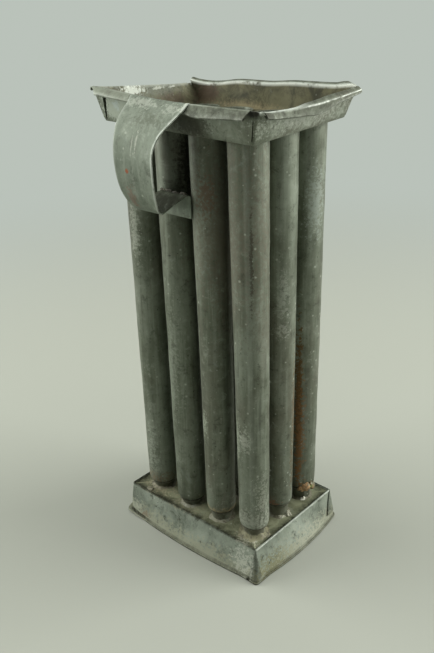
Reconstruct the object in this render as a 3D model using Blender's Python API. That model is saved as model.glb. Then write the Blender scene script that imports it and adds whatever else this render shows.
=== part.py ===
# Candle mould of soldered tinplate: twelve tapered tubes between two pans, with a strap handle.
# Metres, +Z up. The mould stands on its base. Its long sides run along X, and the handle is on the -Y side.

import math

import bmesh
import bpy
from mathutils import Matrix, Vector

# Overall sizes
mould_height = 0.2735       # ground to the top of the rim
pan_depth = 0.0190          # rim down to the underside of the pan's floor
base_height = 0.0206        # ground to the top of the base plate

# Sheet and seams
sheet = 0.0005
seam_gap = 0.0003           # left between two pieces that are soldered together

# Tubes
tubes_along = 4
tubes_across = 3
tube_top_radius = 0.01055   # outside, at the pan's floor
tube_foot_radius = 0.00895  # outside, at the shoulder
tube_gap_along = 0.0048     # clear space between neighbours in a row, at the top
tube_gap_across = 0.0022    # clear space between rows, at the top
flange_width = 0.0008       # turned over on the pan's floor

# Tube tips
shoulder_rise = 0.0092      # base plate to the shoulder
neck_rise = 0.0063          # the straight neck, above the base plate
neck_drop = 0.0020          # and below its top face
neck_radius = 0.0061
tip_reach = 0.0110          # base plate down to the wick hole
wick_hole_radius = 0.0010
collar_height = 0.0030      # pushed up inside the tube

# Top pan
pan_margin_x = 0.00385      # clear floor past the last tube
pan_margin_y = 0.00215
pan_flare_x = 0.0050        # how far the walls lean out
pan_flare_y = 0.0032
lip_out_x = 0.0026          # how far the turned lips stand out
lip_out_y = 0.0038
lip_drop = 0.0038
lip_notch = 0.0055          # cut back from each corner along the lip

# Base pan
base_margin_x = 0.00385     # clear plate past the last tube's foot
base_margin_y = 0.00525
base_flare_x = 0.0031
base_flare_y = 0.0035
base_bow = 0.0040           # the walls' lower edges swell out between the corners
base_hem = 0.0012           # thickness of the folded lower edge
base_hem_height = 0.0030

# Handle
strap_thickness = 0.0008
strap_top_width = 0.0362
strap_foot_width = 0.0212
strap_tube = 2                  # its foot is soldered to this tube, counted from -X
strap_offset = 0.0050           # its middle, past that tube's axis
strap_foot_shift = 0.0036       # the foot is set over towards +X
strap_tab = 0.0020              # tucked under the lip and soldered
strap_slope = 36.0              # degrees below level, where it comes out from under the lip
strap_reach = 0.0147            # how far it stands out past the lip
strap_belly = 0.0320            # rim down to where it stands out furthest
strap_drop = 0.0589             # rim down to its lower bend
strap_foot_rise = 0.0060        # lower bend up to the foot's bend
strap_foot_length = 0.0100
strap_bend_radius = 0.0014
strap_roundness_top = 0.60      # how full the curve is above its belly
strap_roundness_bottom = 0.52   # and below it

# Fineness
tube_sides = 24
tip_sides = 16
wall_steps = 8              # along each wall of the base
strap_steps = 9             # along each of the strap's two curves

# Places worked out from the sizes above
pitch_x = 2 * tube_top_radius + tube_gap_along
pitch_y = 2 * tube_top_radius + tube_gap_across
pan_bottom = mould_height - pan_depth
pan_floor = pan_bottom + sheet
shoulder_height = base_height + shoulder_rise
tube_bottom = shoulder_height + seam_gap
flange_under = pan_floor + seam_gap
last_tube_x = pitch_x * (tubes_along - 1) / 2
last_tube_y = pitch_y * (tubes_across - 1) / 2
pan_half_x = last_tube_x + tube_top_radius + pan_margin_x
pan_half_y = last_tube_y + tube_top_radius + pan_margin_y
base_half_x = last_tube_x + tube_foot_radius + base_margin_x
base_half_y = last_tube_y + tube_foot_radius + base_margin_y
rim_x = pan_half_x + pan_flare_x
rim_y = pan_half_y + pan_flare_y
hem = 2 * sheet             # the lips are folded double
lip_root = mould_height - hem
lip_edge = mould_height - lip_drop
strap_x = (strap_tube - 1) * pitch_x - last_tube_x + strap_offset


def tube_radius(height):
    # Outside of a tube at a height
    share = (height - tube_bottom) / (pan_bottom - tube_bottom)
    return tube_foot_radius + (tube_top_radius - tube_foot_radius) * share


# The origin is under the middle of the whole outline: the strap sets its front, and the wider pan its back
front_edge = rim_y + lip_out_y + strap_reach
pan_back_edge = rim_y + lip_out_y
base_back_edge = base_half_y + base_flare_y + base_bow
middle_y = (front_edge - max(pan_back_edge, base_back_edge)) / 2


def tin(name, colour, roughness):
    material = bpy.data.materials.new(name)
    material.use_nodes = True
    shader = material.node_tree.nodes["Principled BSDF"]
    shader.inputs["Base Color"].default_value = (*colour, 1.0)
    shader.inputs["Metallic"].default_value = 0.75
    shader.inputs["Roughness"].default_value = roughness
    return material


def add_object(name, mesh, material, place=(0.0, 0.0, 0.0)):
    if not mesh.materials:
        mesh.materials.append(material)
    thing = bpy.data.objects.new(name, mesh)
    thing.location = place
    bpy.context.collection.objects.link(thing)
    return thing


def finish_mesh(bm, name):
    bmesh.ops.recalc_face_normals(bm, faces=bm.faces)
    mesh = bpy.data.meshes.new(name)
    bm.to_mesh(mesh)
    bm.free()
    return mesh


def turned(name, profile, sides):
    # Spins a closed outline of (radius, height) points round Z
    bm = bmesh.new()
    verts = [bm.verts.new((radius, 0.0, height)) for radius, height in profile]
    edges = [bm.edges.new((verts[i - 1], verts[i])) for i in range(len(verts))]
    bmesh.ops.spin(bm, geom=verts + edges, cent=(0, 0, 0), axis=(0, 0, 1), angle=math.tau,
                   steps=sides, use_merge=True)
    mesh = finish_mesh(bm, name)
    mesh.shade_smooth()
    mesh.set_sharp_from_angle(angle=math.radians(35))
    return mesh


def oblong(half_x, half_y, height, bow, steps):
    # Points round a rectangle, whose sides swell out by bow at their middles
    corners = [(-half_x, -half_y), (half_x, -half_y), (half_x, half_y), (-half_x, half_y)]
    outward = [(0, -1), (1, 0), (0, 1), (-1, 0)]
    points = []
    for side in range(4):
        (x0, y0), (x1, y1) = corners[side], corners[(side + 1) % 4]
        for step in range(steps):
            share = step / steps
            swell = bow * (1 - (2 * share - 1) ** 2)
            points.append((x0 + (x1 - x0) * share + outward[side][0] * swell,
                           y0 + (y1 - y0) * share + outward[side][1] * swell, height))
    return points


def folded_pan(name, rings):
    # Joins rings of points into one closed sheet-metal shell, capped at its two flat ends
    bm = bmesh.new()
    loops = [[bm.verts.new(point) for point in ring] for ring in rings]
    for lower, upper in zip(loops, loops[1:]):
        for i in range(len(lower)):
            bm.faces.new((lower[i - 1], lower[i], upper[i], upper[i - 1]))
    bm.faces.new(loops[0])
    bm.faces.new(loops[-1])
    return finish_mesh(bm, name)


def cut(thing, cutter_mesh, name):
    cutter = bpy.data.objects.new(name, cutter_mesh)
    cutter.location = thing.location
    cutter.hide_render = True
    cutter.display_type = 'WIRE'
    bpy.context.collection.objects.link(cutter)
    boolean = thing.modifiers.new(name, 'BOOLEAN')
    boolean.operation = 'DIFFERENCE'
    boolean.solver = 'EXACT'
    boolean.object = cutter


def tube_places():
    # Axis of each tube: the handle's row first, from -X to +X
    for row in range(tubes_across):
        for column in range(tubes_along):
            yield column * pitch_x - last_tube_x, row * pitch_y - last_tube_y


def hole_cutter(name, radius, low, high):
    # One round punch for each tube
    bm = bmesh.new()
    for x, y in tube_places():
        bmesh.ops.create_cone(bm, cap_ends=True, segments=tube_sides, radius1=radius, radius2=radius,
                              depth=high - low, matrix=Matrix.Translation((x, y, (low + high) / 2)))
    return finish_mesh(bm, name)


def corner_snips(name, low, high):
    # A wedge at each corner, which parts the four lips from one another
    bm = bmesh.new()
    past = lip_notch + lip_out_y                 # well outside the lips
    for sign_x in (-1, 1):
        for sign_y in (-1, 1):
            outline = [(rim_x + seam_gap, rim_y + seam_gap), (rim_x - lip_notch, rim_y + past),
                       (rim_x + past, rim_y + past), (rim_x + past, rim_y - lip_notch)]
            verts = [bm.verts.new((sign_x * x, sign_y * y, low)) for x, y in outline]
            face = bm.faces.new(verts)
            raised = bmesh.ops.extrude_face_region(bm, geom=[face])["geom"]
            bmesh.ops.translate(bm, verts=[v for v in raised if isinstance(v, bmesh.types.BMVert)],
                                vec=(0, 0, high - low))
    return finish_mesh(bm, name)


def make_top_pan(material):
    root_share = (lip_root - pan_bottom) / pan_depth
    rings = [
        (pan_half_x, pan_half_y, pan_bottom),
        (pan_half_x + pan_flare_x * root_share, pan_half_y + pan_flare_y * root_share, lip_root),
        (rim_x + lip_out_x - sheet, rim_y + lip_out_y - sheet, lip_edge - hem),
        (rim_x + lip_out_x, rim_y + lip_out_y, lip_edge),
        (rim_x, rim_y, mould_height),
        (rim_x - sheet, rim_y - sheet, mould_height),
        (pan_half_x - sheet, pan_half_y - sheet, pan_floor),
    ]
    mesh = folded_pan("top_pan", [oblong(x, y, z, 0.0, 1) for x, y, z in rings])
    pan = add_object("top_pan", mesh, material, (0, middle_y, 0))
    punch = hole_cutter("pan_punch", tube_top_radius + seam_gap, pan_bottom - sheet, pan_floor + sheet)
    cut(pan, punch, "pan_punch")
    cut(pan, corner_snips("lip_snips", lip_edge - 2 * hem, mould_height + hem), "lip_snips")


def make_base_pan(material):
    foot_x = base_half_x + base_flare_x
    foot_y = base_half_y + base_flare_y
    hem_share = 1 - base_hem_height / base_height
    fold = base_hem - sheet
    rings = [
        (base_half_x - sheet, base_half_y - sheet, base_height - sheet, 0.0),
        (base_half_x + base_flare_x * hem_share - fold, base_half_y + base_flare_y * hem_share - fold,
         base_hem_height, base_bow * hem_share),
        (foot_x - base_hem, foot_y - base_hem, 0.0, base_bow),
        (foot_x, foot_y, 0.0, base_bow),
        (base_half_x, base_half_y, base_height, 0.0),
    ]
    mesh = folded_pan("base_pan", [oblong(x, y, z, bow, wall_steps) for x, y, z, bow in rings])
    pan = add_object("base_pan", mesh, material, (0, middle_y, 0))
    punch = hole_cutter("base_punch", neck_radius + seam_gap, base_height - 2 * sheet, base_height + sheet)
    cut(pan, punch, "base_punch")


def make_tubes(material):
    profile = [
        (tube_foot_radius, tube_bottom),
        (tube_top_radius, pan_bottom),
        (tube_top_radius, flange_under),
        (tube_top_radius + flange_width, flange_under),
        (tube_top_radius + flange_width, flange_under + sheet),
        (tube_top_radius - sheet, flange_under + sheet),
        (tube_foot_radius - sheet, tube_bottom),
    ]
    mesh = turned("candle_tube", profile, tube_sides)
    for number, (x, y) in enumerate(tube_places(), 1):
        add_object(f"candle_tube_{number:02d}", mesh, material, (x, y + middle_y, 0))


def make_tips(material):
    collar = tube_foot_radius - sheet - seam_gap
    tip_end = base_height - tip_reach
    profile = [
        (wick_hole_radius + sheet, tip_end),
        (neck_radius, base_height - neck_drop),
        (neck_radius, base_height + neck_rise),
        (tube_foot_radius, shoulder_height),
        (collar, shoulder_height),
        (collar, shoulder_height + collar_height),
        (collar - sheet, shoulder_height + collar_height),
        (collar - sheet, shoulder_height - sheet),
        (neck_radius - sheet, base_height + neck_rise),
        (neck_radius - sheet, base_height - neck_drop),
        (wick_hole_radius, tip_end),
    ]
    mesh = turned("tube_tip", profile, tip_sides)
    for number, (x, y) in enumerate(tube_places(), 1):
        add_object(f"tube_tip_{number:02d}", mesh, material, (x, y + middle_y, 0))


def bezier(p0, p1, p2, p3, steps):
    points = []
    for step in range(steps + 1):
        t = step / steps
        s = 1 - t
        points.append(p0 * s ** 3 + p1 * 3 * s * s * t + p2 * 3 * s * t * t + p3 * t ** 3)
    return points


def rounded_corner(before, corner, after, radius, steps=3):
    # Arc that replaces a corner between two straight legs
    leg_in = (before - corner).normalized()
    leg_out = (after - corner).normalized()
    half_angle = leg_in.angle(leg_out) / 2
    start = corner + leg_in * radius / math.tan(half_angle)
    end = corner + leg_out * radius / math.tan(half_angle)
    centre = corner + (leg_in + leg_out).normalized() * radius / math.sin(half_angle)
    points = []
    for step in range(steps + 1):
        chord = start.lerp(end, step / steps)
        points.append(centre + (chord - centre).normalized() * radius)
    return points


def strap_path():
    # Middle line of the strap as (outward, up), from its tab under the lip round to its foot on the tube,
    # and the number of points before its lower bend
    half = strap_thickness / 2
    under_root = Vector((rim_y, lip_root))
    under_edge = Vector((rim_y + lip_out_y - sheet, lip_edge - hem))
    along_lip = (under_edge - under_root).normalized()
    below_lip = Vector((along_lip.y, -along_lip.x)) * (seam_gap + half)
    leave = under_edge + below_lip
    slope = math.radians(strap_slope)
    first_way = Vector((math.cos(slope), -math.sin(slope)))
    belly = Vector((front_edge - half, mould_height - strap_belly))
    lowest = mould_height - strap_drop + half
    foot_top = lowest + strap_foot_rise
    foot = last_tube_y + tube_radius(foot_top) + seam_gap + half
    bottom = Vector(((belly.x + foot) / 2, lowest))
    foot_corner = Vector((foot, foot_top))
    foot_end = Vector((foot, foot_top - strap_foot_length))
    upper = bezier(leave, leave + first_way * strap_roundness_top * (belly.x - leave.x),
                   belly + Vector((0, strap_roundness_top * (leave.y - belly.y))), belly, strap_steps)
    lower = bezier(belly, belly + Vector((0, strap_roundness_bottom * (lowest - belly.y))),
                   bottom + Vector((strap_roundness_bottom * (belly.x - bottom.x), 0)), bottom, strap_steps)
    outer = [leave - along_lip * strap_tab] + upper + lower[1:]
    inner = rounded_corner(bottom, foot_corner, foot_end, strap_bend_radius) + [foot_end]
    return outer + inner, len(outer) - 1


def make_handle(material):
    path, bend = strap_path()
    lengths = [0.0]
    for before, after in zip(path, path[1:]):
        lengths.append(lengths[-1] + (after - before).length)
    bm = bmesh.new()
    rows = []
    for length, point in zip(lengths, path):
        taper = min(length / lengths[bend], 1.0)
        shift = max(length - lengths[bend], 0.0) / (lengths[-1] - lengths[bend])
        half_width = (strap_top_width + (strap_foot_width - strap_top_width) * taper) / 2
        centre = strap_x + strap_foot_shift * min(2 * shift, 1.0)
        rows.append([bm.verts.new((centre + side * half_width, -point.x, point.y)) for side in (-1, 1)])
    for (a, b), (c, d) in zip(rows, rows[1:]):
        bm.faces.new((a, b, d, c))
    mesh = finish_mesh(bm, "handle_strap")
    strap = add_object("handle_strap", mesh, material, (0, middle_y, 0))
    thicken = strap.modifiers.new("thickness", 'SOLIDIFY')
    thicken.thickness = strap_thickness
    thicken.offset = 0.0
    thicken.use_even_offset = True
    thicken.use_quality_normals = True


def build():
    for thing in list(bpy.data.objects):
        bpy.data.objects.remove(thing, do_unlink=True)
    grey_tin = tin("grey_tin", (0.165, 0.175, 0.155), 0.50)
    pan_tin = tin("pan_tin", (0.225, 0.240, 0.215), 0.45)
    base_tin = tin("base_tin", (0.270, 0.300, 0.280), 0.55)
    strap_tin = tin("strap_tin", (0.240, 0.260, 0.235), 0.42)
    make_top_pan(pan_tin)
    make_base_pan(base_tin)
    make_tubes(grey_tin)
    make_tips(grey_tin)
    make_handle(strap_tin)


build()
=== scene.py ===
import math

import bmesh
import bpy
from mathutils import Matrix, Vector, noise


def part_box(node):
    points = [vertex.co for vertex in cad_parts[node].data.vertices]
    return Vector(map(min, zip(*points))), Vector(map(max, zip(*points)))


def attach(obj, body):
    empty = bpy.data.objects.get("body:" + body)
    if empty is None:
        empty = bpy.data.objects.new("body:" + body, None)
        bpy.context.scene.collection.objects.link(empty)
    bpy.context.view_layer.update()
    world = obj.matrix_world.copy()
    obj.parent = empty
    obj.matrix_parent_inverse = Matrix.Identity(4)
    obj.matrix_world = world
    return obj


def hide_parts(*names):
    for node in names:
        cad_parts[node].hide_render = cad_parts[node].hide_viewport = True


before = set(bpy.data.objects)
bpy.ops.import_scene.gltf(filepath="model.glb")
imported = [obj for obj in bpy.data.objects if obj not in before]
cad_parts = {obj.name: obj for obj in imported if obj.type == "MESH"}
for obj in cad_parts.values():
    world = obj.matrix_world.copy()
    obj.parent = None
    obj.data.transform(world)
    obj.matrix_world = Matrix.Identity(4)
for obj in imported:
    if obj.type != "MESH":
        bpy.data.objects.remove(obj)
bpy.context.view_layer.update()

# Candle mould of soldered tin. Its pieces are shaped in millimetres, round the middle of the twelve tubes.
# The old mould has twisted and sagged, and settle() puts that in and gives metres.

metre = 1000.0
tubeNumbers = range(1, 13)
tubeBoxes = {number: [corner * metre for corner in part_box(f"candle_tube_{number:02d}")]
             for number in tubeNumbers}
mouldMiddle = sum((low + high for low, high in tubeBoxes.values()), Vector()) / (2 * len(tubeBoxes))
mouldMiddle.z = 0.0
tubeSpots = {number: (low + high).xy.to_3d() / 2 - mouldMiddle for number, (low, high) in tubeBoxes.items()}
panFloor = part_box("top_pan")[0].z * metre           # underside of the top pan's floor
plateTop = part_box("base_pan")[1].z * metre
tubeFoot, tubeHead = (corner.z for corner in tubeBoxes[1])

age = {
    "twist": 1.5,                   # degrees, of the base against the pan
    "slide": (0.5, -0.2, 0.0),      # of the base
    "skew": -1.9,                   # of the base's front left corner, to the front
    "skewWidth": 103.0, "skewDepth": 75.0,
    # How far each corner of the pan's floor has moved up
    "frontLeft": 0.3, "frontRight": -1.3, "backRight": 1.7, "backLeft": -0.1,
    "bendStart": 200.0,             # tubes follow the floor above this height
    # Feet of the front row: moved to the right, to the back, and pushed down towards the plate
    "feet": {1: (2.1, -0.2, 4.5), 2: (3.4, -2.0, 4.6), 3: (1.8, -1.4, 2.6), 4: (1.3, -1.3, 2.0)},
}
footMoves = {number: Vector(age["feet"].get(number, (0, 0, 0))) for number in tubeNumbers}
footSpots = {number: spot + footMoves[number].xy.to_3d() for number, spot in tubeSpots.items()}


def clamp(value):
    return max(0.0, min(1.0, value))


def ease(value, start, end):
    share = clamp((value - start) / (end - start))
    return share * share * (3 - 2 * share)


def along(points, at):
    # Height of a smooth curve through (place, height) points
    last = len(points) - 2
    for i in range(last + 1):
        (x0, y0), (x1, y1) = points[i], points[i + 1]
        if at <= x1 or i == last:
            before, after = points[max(i - 1, 0)], points[min(i + 2, last + 1)]
            width = x1 - x0
            t = clamp((at - x0) / width)
            slopeIn = width * (y1 - before[1]) / (x1 - before[0])
            slopeOut = width * (after[1] - y0) / (after[0] - x0)
            return ((2 * t ** 3 - 3 * t ** 2 + 1) * y0 + (t ** 3 - 2 * t ** 2 + t) * slopeIn
                    + (3 * t ** 2 - 2 * t ** 3) * y1 + (t ** 3 - t ** 2) * slopeOut)


def rowAt(table, at):
    # Each further column of a table, read at a place in its first column
    return [along([(row[0], row[i]) for row in table], at) for i in range(1, len(table[0]))]


def floorLift(x, y):
    u = clamp(0.5 + x / (2 * topPan["floorHalfX"]))
    v = clamp(0.5 + y / (2 * topPan["floorHalfY"]))
    front = age["frontLeft"] * (1 - u) + age["frontRight"] * u
    back = age["backLeft"] * (1 - u) + age["backRight"] * u
    return front * (1 - v) + back * v


def shareDown(height):
    # 0 at the pan's floor and above it, 1 at the base's plate and below it
    return clamp((panFloor - height) / (panFloor - plateTop))


def settle(point, lift=True):
    low = shareDown(point.z)
    turned = Matrix.Rotation(math.radians(age["twist"]) * low, 3, 'Z') @ point + Vector(age["slide"]) * low
    turned.y += age["skew"] * low * (clamp(0.5 - point.x / age["skewWidth"])
                                     * clamp(0.5 - point.y / age["skewDepth"]))
    if lift:
        bend = clamp((point.z - age["bendStart"]) / (panFloor - age["bendStart"]))
        turned.z += floorLift(point.x, point.y) * bend
    return (turned + mouldMiddle) / metre


def waver(place, size, seed=0.0):
    # Smooth noise from -1 to 1
    return noise.noise(Vector((place.x / size + seed, place.y / size, place.z / size)))


# Shared tools

def makeObject(bm, name, materials):
    mesh = bpy.data.meshes.new(name)
    bm.to_mesh(mesh)
    bm.free()
    for material in materials:
        mesh.materials.append(material)
    made = bpy.data.objects.new(name, mesh)
    bpy.context.scene.collection.objects.link(made)
    return made


def gatherPiece(bm, name, materials, node=None, lift=True, sharp=40.0):
    # Settles a shape, makes it a piece and ties it to the frame
    for vert in bm.verts:
        vert.co = settle(vert.co, lift)
    piece = makeObject(bm, name, materials)
    piece.data.shade_smooth()
    piece.data.set_sharp_from_angle(angle=math.radians(sharp))
    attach(piece, "root")
    if node:
        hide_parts(node)
    return piece


def finishSheet(piece, size, inside=0):
    # Gives a sheet its thickness, and another material inside if it has one
    shell = piece.modifiers.new("sheet", 'SOLIDIFY')
    shell.thickness = size["sheet"] / metre
    shell.material_offset = inside


def softenEdges(piece, width):
    soft = piece.modifiers.new("soft edges", 'BEVEL')
    soft.width = width / metre
    soft.segments = 2
    soft.limit_method = 'ANGLE'
    soft.angle_limit = math.radians(50)
    soft.harden_normals = True


def markLayers(bm, *names):
    # The rubbed-edge layer is in places a painted highlight, the crease layer dirt and painted shade in
    # gaps and hollows, and "stain" marks the stained part of a sheet
    return [bm.verts.layers.float.get(name) or bm.verts.layers.float.new(name) for name in names]


def growEdges(bm, edges, move):
    # Extrudes edges and calls move(vert) on the new points
    made = bmesh.ops.extrude_edge_only(bm, edges=edges)["geom"]
    for part in made:
        if isinstance(part, bmesh.types.BMVert):
            move(part)
    return [part for part in made if isinstance(part, bmesh.types.BMEdge)]


def cutAcross(bm, place, across, near):
    # Cuts the faces that near() picks along a plane, so that a seam or an end falls exactly there
    faces = [face for face in bm.faces if near(face.calc_center_median())]
    parts = {part for face in faces for part in [*face.verts, *face.edges]} | set(faces)
    bmesh.ops.bisect_plane(bm, geom=list(parts), plane_co=place, plane_no=across, dist=0.001)


def faceUp(bm, wanted):
    # Turns the whole sheet over if its first flat face looks the wrong way
    bmesh.ops.recalc_face_normals(bm, faces=bm.faces[:])
    flat = max(bm.faces, key=lambda face: abs(face.normal.z) * face.calc_area())
    if flat.normal.z * wanted < 0:
        bmesh.ops.reverse_faces(bm, faces=bm.faces[:])


def turnOutline(bm, outline, steps, closed=True):
    # Turns (radius, height) points round the Z axis
    verts = [bm.verts.new((radius, 0.0, height)) for radius, height in outline]
    edges = [bm.edges.new((verts[i - 1], verts[i])) for i in range(0 if closed else 1, len(verts))]
    bmesh.ops.spin(bm, geom=verts + edges, cent=(0, 0, 0), axis=(0, 0, 1), angle=math.tau, steps=steps,
                   use_merge=True)


def setRadius(vert, radius):
    grown = radius / vert.co.xy.length
    vert.co.x *= grown
    vert.co.y *= grown


# What both pans share: a punched plate, its rounded corners and its flared walls

panPlate = {"cuts": 7, "cellInset": 0.5, "holeRing": 0.6, "outerShare": 0.96}


def punchedPlate(halfX, halfY, level, holeRadius, spots):
    # Flat plate with a hole at each spot, cut from a grid of four cells by three
    bm = bmesh.new()
    columns, rows = (sorted({round(spot[axis], 3) for spot in tubeSpots.values()}) for axis in (0, 1))
    linesX, linesY = ([-half] + [(a + b) / 2 for a, b in zip(places, places[1:])] + [half]
                      for places, half in ((columns, halfX), (rows, halfY)))
    bmesh.ops.create_grid(bm, x_segments=len(columns), y_segments=len(rows), size=1)
    for vert in bm.verts:
        column = round((vert.co.x + 1) / 2 * len(columns))
        row = round((vert.co.y + 1) / 2 * len(rows))
        vert.co = (linesX[column], linesY[row], level)
    bmesh.ops.bisect_edges(bm, edges=bm.edges[:], cuts=panPlate["cuts"], edge_percents={})
    cells = bm.faces[:]
    bmesh.ops.inset_individual(bm, faces=cells, thickness=panPlate["cellInset"], depth=0.0,
                               use_even_offset=True)
    middles = [Vector((spot.x, spot.y, level)) for spot in spots]

    def nearest(place):
        return min(middles, key=lambda middle: (middle - place).length)
    for cell in cells:
        middle = nearest(cell.calc_center_median())
        for vert in cell.verts:
            vert.co = middle + (vert.co - middle).normalized() * (holeRadius + panPlate["holeRing"])
    rims = [edge for cell in cells for edge in cell.edges]
    bmesh.ops.delete(bm, geom=cells, context='FACES_ONLY')

    def narrow(vert):
        middle = nearest(vert.co)
        vert.co = middle + (vert.co - middle).normalized() * holeRadius
    growEdges(bm, rims, narrow)
    return bm


def roundCorners(bm, halfX, halfY, radius):
    # Gives each corner of a plate an arc of four short edges
    for corner in [vert for vert in bm.verts
                   if abs(vert.co.x) > halfX - 0.001 and abs(vert.co.y) > halfY - 0.001]:
        signX, signY = math.copysign(1, corner.co.x), math.copysign(1, corner.co.y)
        middle = Vector((signX * (halfX - radius), signY * (halfY - radius), corner.co.z))

        def onArc(degrees):
            turn = math.radians(degrees)
            return middle + Vector((signX * math.cos(turn), signY * math.sin(turn), 0)) * radius
        for edge in [edge for edge in corner.link_edges if edge.is_boundary]:
            far = bmesh.utils.edge_split(edge, corner, radius / edge.calc_length())[1]
            short = next(part for part in corner.link_edges if far in part.verts)
            half = bmesh.utils.edge_split(short, corner, 0.5)[1]
            half.co = onArc(67.5 if abs(far.co.y - corner.co.y) < 1e-6 else 22.5)
        corner.co = onArc(45)


def startPan(size, halfX, halfY, level, spots):
    bm = punchedPlate(halfX, halfY, level, size["holeRadius"], spots)
    roundCorners(bm, halfX, halfY, size["cornerRadius"])

    def isOuter(vert):
        return max(abs(vert.co.x) / halfX, abs(vert.co.y) / halfY) > panPlate["outerShare"]
    return bm, [edge for edge in bm.edges if edge.is_boundary and all(isOuter(vert) for vert in edge.verts)]


def growWalls(bm, edges, rings, flareX, flareY):
    # Walls in rings; for now the height of a point is its share of the way to the rim, out of a metre
    for ring in range(rings):
        before, share = ring / rings, (ring + 1) / rings

        def spread(vert):
            vert.co.x *= (1 + flareX * share) / (1 + flareX * before)
            vert.co.y *= (1 + flareY * share) / (1 + flareY * before)
            vert.co.z = share * metre
        edges = growEdges(bm, edges, spread)


def roundFold(bm, edges, radius):
    bmesh.ops.bevel(bm, geom=edges, offset=radius, offset_type='OFFSET', segments=2, profile=0.5,
                    affect='EDGES', material=-1)


def sinkWedge(bm, out, borders, wedge, grimeAndShade):
    # Presses the part of a wall between two lines inwards, as beside a folded corner, and paints it dark as
    # the shade in that gap
    low, high = wedge["low"], wedge["high"]
    planes = [(Vector(start), (Vector(end) - Vector(start)).cross(out).normalized())
              for start, end in borders]
    middle = sum((Vector(point) for border in borders for point in border), Vector()) / 4

    def near(centre):
        away = centre - middle
        return abs(away.dot(out)) < 4.0 and away.length < (high - low) / 2 + 6.0

    def inside(face):
        centre = face.calc_center_median()
        beside = [(centre - start).dot(across) for start, across in planes]
        return beside[0] * beside[1] < 0 and low < centre.z < high and near(centre)
    for place, across in planes + [(Vector((0, 0, level)), Vector((0, 0, 1))) for level in (low, high)]:
        cutAcross(bm, place, across, near)
    faces = [face for face in bm.faces if inside(face)]
    bmesh.ops.inset_region(bm, faces=faces, thickness=0.12, depth=-wedge["depth"], use_even_offset=False)
    # the pressed faces get full painted shade
    for vert in {vert for face in faces for vert in face.verts}:
        vert[grimeAndShade] = 1.0


# Materials

def addNode(tree, kind, values=None, **settings):
    made = tree.nodes.new(kind)
    for key, value in settings.items():
        setattr(made, key, value)
    for key, value in (values or {}).items():
        if isinstance(value, bpy.types.NodeSocket):
            tree.links.new(value, made.inputs[key])
        else:
            made.inputs[key].default_value = value
    return made


def attribute(tree, name):
    return addNode(tree, 'ShaderNodeAttribute', attribute_name=name).outputs["Fac"]


def grain(tree, place, scale, detail=4.0, roughness=0.55, distortion=0.0):
    values = {"Vector": place, "Scale": scale, "Detail": detail, "Roughness": roughness,
              "Distortion": distortion}
    return addNode(tree, 'ShaderNodeTexNoise', values).outputs["Fac"]


def band(tree, value, low, high, toLow=0.0, toHigh=1.0):
    values = {"Value": value, "From Min": low, "From Max": high, "To Min": toLow, "To Max": toHigh}
    return addNode(tree, 'ShaderNodeMapRange', values, interpolation_type='SMOOTHSTEP').outputs["Result"]


def maths(tree, kind, a, b):
    return addNode(tree, 'ShaderNodeMath', {0: a, 1: b}, operation=kind, use_clamp=True).outputs[0]


def times(tree, a, b):
    return maths(tree, 'MULTIPLY', a, b)


def plus(tree, a, b):
    return maths(tree, 'ADD', a, b)


def vectorMaths(tree, kind, *values):
    return addNode(tree, 'ShaderNodeVectorMath', dict(enumerate(values)), operation=kind).outputs


def blendColour(tree, share, under, over):
    made = addNode(tree, 'ShaderNodeMix', {"Factor": share}, data_type='RGBA')
    for socket, colour in ((made.inputs[6], under), (made.inputs[7], over)):
        if isinstance(colour, bpy.types.NodeSocket):
            tree.links.new(colour, socket)
        else:
            socket.default_value = (*colour, 1.0)
    return made.outputs[2]


def stretched(tree, place, scale, shift=(0.0, 0.0, 0.0)):
    made = addNode(tree, 'ShaderNodeMapping', {"Vector": place, "Scale": scale, "Location": shift})
    return made.outputs["Vector"]


def stain(at, reach, colour, amount=1.0, ragged=1.6, soft=0.45):
    # A stain's middle and reach, in millimetres, its colour, and how strong, ragged and soft it is
    return {"at": Vector(at), "reach": reach, "colour": colour, "amount": amount, "ragged": ragged,
            "soft": soft}


def stainShare(tree, place, ragged, spot):
    # 1 in the middle of a stain and 0 outside it, with a ragged edge
    away = vectorMaths(tree, 'SUBTRACT', place, tuple((spot["at"] + mouldMiddle) / metre))[0]
    scaled = vectorMaths(tree, 'MULTIPLY', away, tuple(metre / radius for radius in spot["reach"]))[0]
    length = vectorMaths(tree, 'LENGTH', scaled)["Value"]
    edge = 1 + spot["ragged"] / 2
    values = {0: ragged, 1: spot["ragged"], 2: length}
    total = addNode(tree, 'ShaderNodeMath', values, operation='MULTIPLY_ADD').outputs[0]
    return times(tree, band(tree, total, edge, edge - spot["soft"]), spot["amount"])


def dots(tree, place, scale, size):
    # Round specks, at most one in each cell of a scattered pattern, and most of them small
    cells = addNode(tree, 'ShaderNodeTexVoronoi', {"Vector": place, "Scale": scale})
    own = addNode(tree, 'ShaderNodeSeparateColor', {"Color": cells.outputs["Color"]}).outputs["Red"]
    radius = times(tree, maths(tree, 'POWER', own, 2.4), size)
    return band(tree, cells.outputs["Distance"], radius, times(tree, radius, 0.1))


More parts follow.
